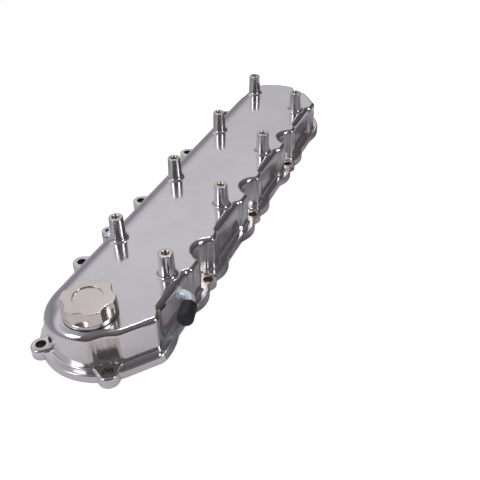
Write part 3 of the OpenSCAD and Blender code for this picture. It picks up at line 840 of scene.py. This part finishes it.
# %% The filler's neck, the baffle's hangers and the vent's socket
BAFFLE_X, BAFFLE_L, BAFFLE_Y, HANGER_SIDE = -161.54, 356.08, 51, 15
neck = [(NECK_R, 40), (NECK_R, 27.4), (16.4, 27), (19, 27), (19.5, 27.5), (19.5, 40), (NECK_R, 40)]
hanger = [(2.5, 36), (2.5, 26), (4.7, 26), (5, 26.3), (5, 39), (0, 39), (0, 36), (2.5, 36)]
socket = [(SOCKET_R, 0), (6.5, 0), (6.5, 5.6), (6.1, 6), (SOCKET_R, 6), (SOCKET_R, 0)]
hangers = [(BAFFLE_X + t * BAFFLE_L, BAFFLE_Y + side * HANGER_SIDE)
           for t in (0.08, 0.5, 0.92) for side in (-1, 1)]
bm = bmesh.new()
turned(bm, neck, 96, (*FILLER, 0))
for x, y in hangers:
    turned(bm, hanger, 32, (x, y, 0))
turned(bm, socket, 48, (VENT_X, VENT_Y + 1, VENT_Z), TO_FLANK)
inside = finished(bm, "inside", casting_polish)
print("inside:", len(hangers), "hangers, neck and socket")

# %% [markdown]
# ## One casting
# The real part is poured in one go, so its pieces become one object. A boolean union would weld
# them, but the pieces already overlap inside the metal, and a plain join leaves their clean
# shading alone. Then each face gets its finish by where it lies and which way it looks: seats
# come from the machine shop, bores get painted shade, and the hollows the brushing of a wheel
# that can only go up and down, with painted shade and painted reflection streaks.

# %% Which faces get which finish
NEAR, UPRIGHT = 0.1, 0.3
DARK_BOLTS = NOTCH_BOLTS + [FAR_BOLT, EAR_BOLT] + FLANK_BOLTS


def near_any(c, places, r):
    return any(hypot(c.x - x, c.y - y) < r for x, y in places)


# Faces that get the bores' painted shade: inside the post holes, and the bolt holes apart from the
# scoop's.
def in_bore(c, n):
    if c.z > TOP_Z:
        return near_any(c, POSTS, POST_HOLE_R + NEAR)
    return abs(n.z) < UPRIGHT and near_any(c, DARK_BOLTS, BOLT_R + NEAR)


def on_seat(c, n):
    """Post tops, the faces under the notch bolts' heads, and the bore in the scoop, whose lighter
    colour is painted light reflected into it.
    """
    if c.z > TOP_Z:
        return c.z > TOP_Z + POST_H - NEAR and not near_any(c, POSTS, POST_HOLE_R)
    if abs(n.z) < UPRIGHT:
        return near_any(c, [SCOOP_BOLT], BOLT_R + NEAR)
    return abs(c.z - RAIL_H + SEAT_D) < 0.05 and near_any(c, NOTCH_BOLTS, SEAT_R + 0.05)


def in_hollow(c, n):
    """The walls of the scoop and of the notches, whose colour carries painted shade and painted
    reflection streaks.
    """
    if not (RAIL_H + 0.5 < c.z < TOP_Z - 5 and abs(n.z) < UPRIGHT):
        return False
    x, y = c.x - CAP_END[0], c.y - END_Y
    scoop_side = abs(degrees(atan2(y, x)) % 360 - SCOOP_A) < 20
    if scoop_side and END_R - 6 < hypot(x, y) < END_R - 0.3:
        return n.x * x + n.y * y > 0
    return any(hypot(c.x - x, c.y + NOTCH_OUT) < NOTCH_R + 0.4 for x in NOTCHES)


print(len(DARK_BOLTS), "bolt holes stay dark")


# %% Join the casting and finish its faces
def joined(name, *parts):
    """One object with the meshes of all the parts."""
    bm = bmesh.new()
    for p in parts:
        bm.from_mesh(p.data)
        bpy.data.objects.remove(p)
    mesh = bpy.data.meshes.new(name)
    bm.to_mesh(mesh)
    bm.free()
    piece = bpy.data.objects.new(name, mesh)
    bpy.context.scene.collection.objects.link(piece)
    return piece


POLISH, SEAT, BORE, HOLLOW = range(4)
casting = joined("casting", crown, rail, posts, ears, lugs, side_boss, inside)
for m in (casting_polish, seat_finish, bore_painted_shade, hollow_brushing_and_painted_shade):
    casting.data.materials.append(m)
for slot, chosen in ((HOLLOW, in_hollow), (SEAT, on_seat), (BORE, in_bore)):
    for f in casting.data.polygons:
        if chosen(f.center / MM, f.normal):
            f.material_index = slot
polish_faces = sum(f.material_index == POLISH for f in casting.data.polygons)
shade(casting)
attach(casting, "cover")
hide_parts("cover")
print("casting:", len(casting.data.polygons), "faces, of them polished:", polish_faces)

# %% [markdown]
# ## Filler cap and its ring
# The cap is turned and milled from bar: six scallops for the fingers, a bevelled rim, a shallow
# recess and a threaded stem. The scallops could be cut with booleans, but one ring whose radius
# changes with the angle can be lofted, and keeps its bevel even. The turning marks are rings
# about the cap's own centre. A dark green rubber ring seals the cap on the roof.

# %% Finishes of the cap, its ring and the vent's cap
CAP_AT = (-FILLER[0] * MM, -FILLER[1] * MM, 0)


def turned_metal():
    m, tree, shader = new_material("turned_aluminium", (0.80, 0.74, 0.72), 1.0, 0.22)
    rings = node(tree, "ShaderNodeTexWave", wave_type="RINGS", rings_direction="Z", Scale=900.0,
                 Distortion=1.5)
    link(tree, object_coords(tree, at=CAP_AT), "Vector", rings, "Vector")
    roughen(tree, shader, rings, 0.18, 0.28, 0, 1)
    emboss(tree, shader, rings, 0.08, 0.0001)
    return m


def rubber(name, color, roughness, speckle):
    m, tree, shader = new_material(name, color, roughness=roughness)
    grain = noise(tree, 1400.0, 2.0)
    roughen(tree, shader, grain, roughness - speckle, roughness + speckle)
    emboss(tree, shader, grain, 0.15, 0.0001)
    return m


cap_metal = turned_metal()
green_rubber = rubber("green_rubber", (0.012, 0.045, 0.028), 0.4, 0.08)
black_rubber = rubber("black_rubber", (0.018, 0.018, 0.020), 0.5, 0.1)
print("turned aluminium and two rubbers")

# %% The cap's grip
CAP_R, CAP_H, RING_T = 21.9, 12.8, 2.6
SCALLOP_R, SCALLOP_D, LOBES, FIRST_SCALLOP_A = 12.5, 3.2, 6, 17
GRIP_EDGE, GRIP_RIM, GRIP_POINTS = 0.5, 0.9, 288


def grip_radius(a, inset):
    """The grip's radius in direction a: a circle with soft scallops."""
    away = radians((a - FIRST_SCALLOP_A + 180 / LOBES) % (360 / LOBES) - 180 / LOBES)
    far = CAP_R - SCALLOP_D + SCALLOP_R
    room = (SCALLOP_R + inset) ** 2 - (far * sin(away)) ** 2
    plain = CAP_R - 0.3 - inset
    return min(plain, far * cos(away) - sqrt(room)) if room > 0 else plain


def cap_ring(radius, z):
    """A level ring about the filler, whose radius is a function of the direction in degrees."""
    around = [360 * i / GRIP_POINTS for i in range(GRIP_POINTS)]
    return [(*polar(FILLER, radius(a), a), z) for a in around]


def grip_ring(inset, z):
    return soften(cap_ring(lambda a: grip_radius(a, inset), z), [1] * GRIP_POINTS)


base = TOP_Z + RING_T
grip_top = base + CAP_H
grip = [grip_ring(0, base + 0.8), grip_ring(0, grip_top - GRIP_EDGE)]
edge = rounding(GRIP_EDGE, [pi / 6 * k for k in (1, 2, 3)])
grip += [grip_ring(e, grip_top - d) for e, d in edge]
grip.append(grip_ring(GRIP_RIM, grip_top))
recess = ((12.6, CAP_H), (12.1, CAP_H), (11.8, CAP_H - 0.3), (11.6, CAP_H - 1), (11, CAP_H - 1))
grip += [cap_ring(lambda a: r, base + z) for r, z in recess]
bm = bmesh.new()
loft(bm, grip)
print("grip:", len(grip), "rings")

# %% The cap's stem and flange
STEM_THREADS, STEM_PITCH = 8, 1.5
stem = [(0, -0.5), (12, -0.5), (12, 0.2), (12, -12.6), (12.4, -13), (15, -13)]
for k in range(STEM_THREADS):
    stem += [(15.3, -12.6 + k * STEM_PITCH), (15.9, -11.9 + k * STEM_PITCH)]
stem += [(15.3, -0.4), (15.3, 0), (21.45, 0), (21.45, -1.7), (21.6, -1.8), (CAP_R, -1.5),
         (CAP_R, 1.2), (CAP_R - 0.4, 1.6), (14, 1.6), (0, 1.6)]
turned(bm, stem, 96, (*FILLER, base))
cap = finished(bm, "filler_cap_dressed", cap_metal)
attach(cap, "filler_cap")
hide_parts("filler_cap")
print("cap:", len(cap.data.polygons), "faces")

# %% Sealing ring
RING_R, CORD_R = 19.9, 1.5
half = RING_T / 2 - 0.01
squeezed = [(RING_R + CORD_R * cos(a), RING_T / 2 + max(-half, min(half, CORD_R * sin(a))))
            for a in (pi / 12 * k for k in range(25))]
bm = bmesh.new()
turned(bm, squeezed, 120, (*FILLER, TOP_Z))
ring = finished(bm, "sealing_ring_dressed", green_rubber, sharp=60)
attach(ring, "sealing_ring")
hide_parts("filler_cap_o_ring")
print("ring:", len(ring.data.polygons), "faces")

# %% [markdown]
# ## Vent elbow and its rubber cap
# A zinc-plated tube is pressed into the wall, turns towards the filler's end and is closed by a
# rubber cap. A curve with a round bevel could draw the tube, but it would need converting and
# capping. Here one circle is extruded along the path, out along the outside and back along the
# bore, and bridged into a closed skin.

# %% Zinc plating
def zinc():
    m, tree, shader = new_material("zinc_plated", (0.74, 0.82, 0.90), 0.45, 0.4)
    cloud = noise(tree, 160.0, 3.0)
    roughen(tree, shader, cloud, 0.30, 0.48)
    tint(tree, shader, cloud, "Fac", (0.70, 0.80, 0.89), (0.80, 0.86, 0.91))
    return m


zinc_plating = zinc()
print("zinc plating ready")

# %% Elbow
TUBE_R, TUBE_WALL, BEND_R, TURN, RUN = 4.0, 1, 9.0, 76.0, 5.4
TUBE_SIDES, BEND_STEPS, SOCKET_L, FREE_LEG = 40, 14, 7.0, 15.6
bend_c = (VENT_X - BEND_R, VENT_Y - RUN)
free = (cos(radians(-90 - TURN)), sin(radians(-90 - TURN)))


def tube_ring(a, r, shift=(0, 0)):
    out = []
    for j in range(TUBE_SIDES):
        b = 2 * pi * j / TUBE_SIDES
        p = polar(bend_c, BEND_R + r * cos(b), a)
        out.append((p[0] + shift[0], p[1] + shift[1], VENT_Z + r * sin(b)))
    return out


def tube_rings(r):
    return ([tube_ring(0, r, (0, RUN + SOCKET_L)), tube_ring(0, r, (0, RUN))]
            + [tube_ring(-TURN * k / BEND_STEPS, r) for k in range(BEND_STEPS + 1)]
            + [tube_ring(-TURN, r, (free[0] * FREE_LEG, free[1] * FREE_LEG))])


bm = bmesh.new()
start, end = loft(bm, tube_rings(TUBE_R) + tube_rings(TUBE_R - TUBE_WALL)[::-1], False, False)
bmesh.ops.bridge_loops(bm, edges=start + end)
bead = [(4.02, 0.05), (5.5, 0.05), (5.5, 0.5), (5.2, 1.2), (4.7, 2.3), (4.4, 2.6), (4.02, 2.6),
        (4.02, 0.05)]
turned(bm, bead, 48, (VENT_X, VENT_Y, VENT_Z), AWAY_FROM_FLANK)
elbow = finished(bm, "elbow_dressed", zinc_plating)
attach(elbow, "cover")
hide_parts("vent_elbow")
print("elbow:", len(elbow.data.polygons), "faces")

# %% Rubber cap
RUBBER_GAP = 3.6
end_p = polar(bend_c, BEND_R, -TURN)
mouth = (end_p[0] + free[0] * RUBBER_GAP, end_p[1] + free[1] * RUBBER_GAP, VENT_Z)
lip = [(4.1, 13.5), (4.1, 0.3), (4.4, 0), (6.0, 0), (6.5, 0.3), (6.7, 0.9), (6.7, 2.2),
       (6.5, 2.8), (6.5, 3.4)]
body = [(6.9, 4.2), (6.9, 15.2), (6.7, 16.6), (6.1, 17.7), (5.0, 18.4), (3.0, 18.5), (2.2, 18.4),
        (1.8, 17.9), (0, 17.8), (0, 13.5), (4.1, 13.5)]
bm = bmesh.new()
turned(bm, lip + body, 56, mouth, (*free, 0))
rubber_cap = finished(bm, "vent_cap_dressed", black_rubber)
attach(rubber_cap, "vent_cap")
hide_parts("vent_cap")
print("rubber cap:", len(rubber_cap.data.polygons), "faces")

# %% [markdown]
# ## Pieces that keep their CAD shape
# The gasket, the baffle and its screws hide under the crown. They could be modelled again, but
# their plain CAD shapes are right as they are, so they only change their finish.

# %% Finishes for the carried-over nodes
def sheet_steel():
    m, tree, shader = new_material("sheet_steel", (0.62, 0.62, 0.63), 1.0, 0.35)
    grain = noise(tree, 1.0, 3.0, scale=(30, 700, 700))
    roughen(tree, shader, grain, 0.28, 0.44)
    emboss(tree, shader, grain, 0.05, 0.0002)
    return m


finishes = {"rail_gasket": black_rubber, "baffle_plate": sheet_steel(),
            "baffle_screws": zinc_plating}
for name, material in finishes.items():
    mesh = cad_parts[name].data
    mesh.materials.clear()
    mesh.materials.append(material)
print("CAD shapes with a new finish:", ", ".join(finishes))

# %% [markdown]
# ## Camera
# The camera looks along the cover from high above the filler's end, as in the photograph. It
# could be turned by eye until it looks right. Fitting its place and lens to the bolts and posts in
# the picture comes closer, and also shows where the model's own measures are off.

# %% Camera
CAMERA_AT, FOCAL_PX, IMAGE_PX, SENSOR = (-508.6, -196.4, 381.5), 640.19, 480, 36
level_look = Vector((0.9238, 0.3829, 0))
pitch, roll = radians(36.799), radians(0.494)
right = level_look.cross(Vector((0, 0, 1)))
look = level_look * cos(pitch) - Vector((0, 0, 1)) * sin(pitch)
down = -right.cross(look)
cam_right = right * cos(roll) + down * sin(roll)
cam_down = down * cos(roll) - right * sin(roll)
scene = bpy.context.scene
camera = bpy.data.objects.new("camera", bpy.data.cameras.new("camera"))
scene.collection.objects.link(camera)
camera.data.sensor_width, camera.data.lens = SENSOR, SENSOR * FOCAL_PX / IMAGE_PX
camera.data.clip_start, camera.data.clip_end = 0.01, 20
turn = Matrix((cam_right, -cam_down, -look)).transposed().to_4x4()
camera.matrix_world = Matrix.Translation(Vector(CAMERA_AT) * MM) @ turn
bpy.context.scene.camera = camera
print("lens:", round(camera.data.lens, 1), "mm")

# %% [markdown]
# ## Surroundings
# A mirror shows the room more than itself, so the room is most of the finish. A photographed room
# could be used, but three colour ramps say as much in a few numbers. Beyond the flank the room is
# pale, and the roof mirrors it. On every other side it is dark and warm, for the darker lines
# along the edges that turn that way. The camera itself sees plain white.

# %% World
scene.view_settings.view_transform = "Standard"
world = bpy.data.worlds.new("studio")
scene.world = world
world.use_nodes = True
tree = world.node_tree
background = tree.nodes["Background"]
coords = node(tree, "ShaderNodeTexCoord")
UP, AHEAD = (0, 0, 1), (0.139, 0.990, 0)


def ramp_along(direction, *stops):
    """A colour ramp over the cosine between the ray and a direction: 0.5 is square to it."""
    dot = node(tree, "ShaderNodeVectorMath", operation="DOT_PRODUCT")
    dot.inputs[1].default_value = direction
    link(tree, coords, "Generated", dot, 0)
    ramp = node(tree, "ShaderNodeValToRGB")
    ramp.color_ramp.elements.remove(ramp.color_ramp.elements[1])
    for k, (place, color) in enumerate(stops):
        elements = ramp.color_ramp.elements
        stop = elements[0] if k == 0 else elements.new(place)
        stop.position, stop.color = place, (*color, 1)
    link(tree, spread(tree, dot, "Value", 0, 1, -1, 1), "Result", ramp, "Fac")
    return ramp


sweep = ramp_along(UP, (0.50, (0.25, 0.245, 0.28)), (0.60, (0.32, 0.31, 0.345)),
                   (0.69, (0.56, 0.55, 0.57)), (0.80, (0.68, 0.67, 0.68)),
                   (0.90, (0.46, 0.46, 0.48)), (1.0, (0.30, 0.30, 0.32)))
studio = ramp_along(UP, (0.50, (0.06, 0.052, 0.045)), (0.65, (0.09, 0.08, 0.07)),
                    (0.80, (0.11, 0.10, 0.095)), (1.0, (0.18, 0.18, 0.19)))
ahead = ramp_along(AHEAD, (0.55, (0, 0, 0)), (0.66, (1, 1, 1)))
room = node(tree, "ShaderNodeMix", data_type="RGBA")
link(tree, ahead, "Color", room, "Factor")
link(tree, studio, "Color", room, "A")
link(tree, sweep, "Color", room, "B")
seen = node(tree, "ShaderNodeMix", data_type="RGBA")
link(tree, node(tree, "ShaderNodeLightPath"), "Is Camera Ray", seen, "Factor")
link(tree, room, "Result", seen, "A")
seen.inputs["B"].default_value = (1, 1, 1, 1)
link(tree, seen, "Result", background, "Color")
background.inputs["Strength"].default_value = 1.0
print("world:", len(tree.nodes), "nodes")

# %% [markdown]
# ## Lamps
# Three panels draw the white spots: the left one on the rounded edge and the rail by the filler,
# the right one down the notched side, and the top one along the crown's near edge. The first two
# draw the bars on the posts too. Point lamps would draw dots, and a panel draws a short bar. A
# fourth, soft one lights the floor and isn't seen by the metal.

# %% Panels
MIDDLE, ORIGIN = (0, 0.05, 0), (0, 0, 0)


def panel(name, place, aim, size, watts):
    lamp = bpy.data.lights.new(name, "AREA")
    lamp.shape, lamp.size, lamp.size_y, lamp.energy = "RECTANGLE", *size, watts
    piece = bpy.data.objects.new(name, lamp)
    scene.collection.objects.link(piece)
    piece.location = place
    piece.rotation_euler = (Vector(aim) - Vector(place)).to_track_quat("-Z", "Y").to_euler()
    return piece


panel("panel_left", (-1.45, 0.75, 1.1), MIDDLE, (0.5, 0.9), 4.5)
panel("panel_right", (-0.1, -1.5, 1.1), MIDDLE, (0.5, 1.0), 5)
panel("panel_top", (0.55, 0.35, 1.3), MIDDLE, (0.4, 0.13), 1.8)
panel("panel_soft", (-0.6, -0.2, 1.6), ORIGIN, (1.2, 1.2), 6.5).visible_glossy = False
print(len(bpy.data.lights), "panels lit")

# %% [markdown]
# ## Floor and card
# The picture's ground is pure white, which more lamps could give, but they would wash out the
# metal. So the floor glows for the camera's rays only, and every other ray sees paper that is
# darker beyond the flank. The notched side mirrors a broken grey, as polished metal does beside
# anything dark. A plain card with a cloudy tint, which only mirror rays can see, paints that shade:
# an upright block stands for a second cover beyond the notched side, and a flat sheet on the floor
# between them is a painted shadow.

# %% Floor
FLOOR_Z, FLOOR_SIZE, FLOOR_NEAR, FLOOR_FAR = -0.4, 6000, (0.84, 0.81, 0.82), (0.46, 0.45, 0.48)
bm = bmesh.new()
bmesh.ops.create_grid(bm, x_segments=8, y_segments=8, size=FLOOR_SIZE)
bmesh.ops.translate(bm, vec=(0, 0, FLOOR_Z), verts=bm.verts)
m, tree, shader = new_material("floor_white", FLOOR_NEAR, roughness=0.9)
across = node(tree, "ShaderNodeSeparateXYZ")
link(tree, node(tree, "ShaderNodeTexCoord"), "Object", across, "Vector")
tint(tree, shader, across, "Y", FLOOR_NEAR, FLOOR_FAR, 0.11, 0.19)
path = node(tree, "ShaderNodeLightPath")
glow = node(tree, "ShaderNodeEmission")
link(tree, spread(tree, path, "Is Camera Ray", 0, 0.75, 0, 1), "Result", glow, "Strength")
add = node(tree, "ShaderNodeAddShader")
link(tree, shader, "BSDF", add, 0)
link(tree, glow, "Emission", add, 1)
link(tree, add, "Shader", tree.nodes["Material Output"], "Surface")
floor = finished(bm, "floor", m)
print("floor:", round(floor.dimensions.x, 1), "m wide")

# %% Card
# Painted shade, seen only in mirror rays: the block stands for a second cover, and the flat sheet
# is its painted shadow on the floor.
bm = bmesh.new()
slab(bm, [(-250, -200), (250, -200), (250, -72), (-250, -72)], 1, 44, 6)
slab(bm, [(-206, -72), (270, -72), (270, -6), (-206, -6)], -0.35, -0.25, 0)
m, tree, shader = new_material("painted_shade_card", (0.15, 0.145, 0.15), roughness=0.7)
tint(tree, shader, noise(tree, 22.0, 1.0), "Fac", (0.20, 0.195, 0.21), (0.66, 0.64, 0.68),
     0.38, 0.66)
card = finished(bm, "painted_shade_card", m)
card.visible_camera = card.visible_diffuse = False
card.visible_shadow = card.visible_transmission = False
print("card:", len(card.data.polygons), "faces")
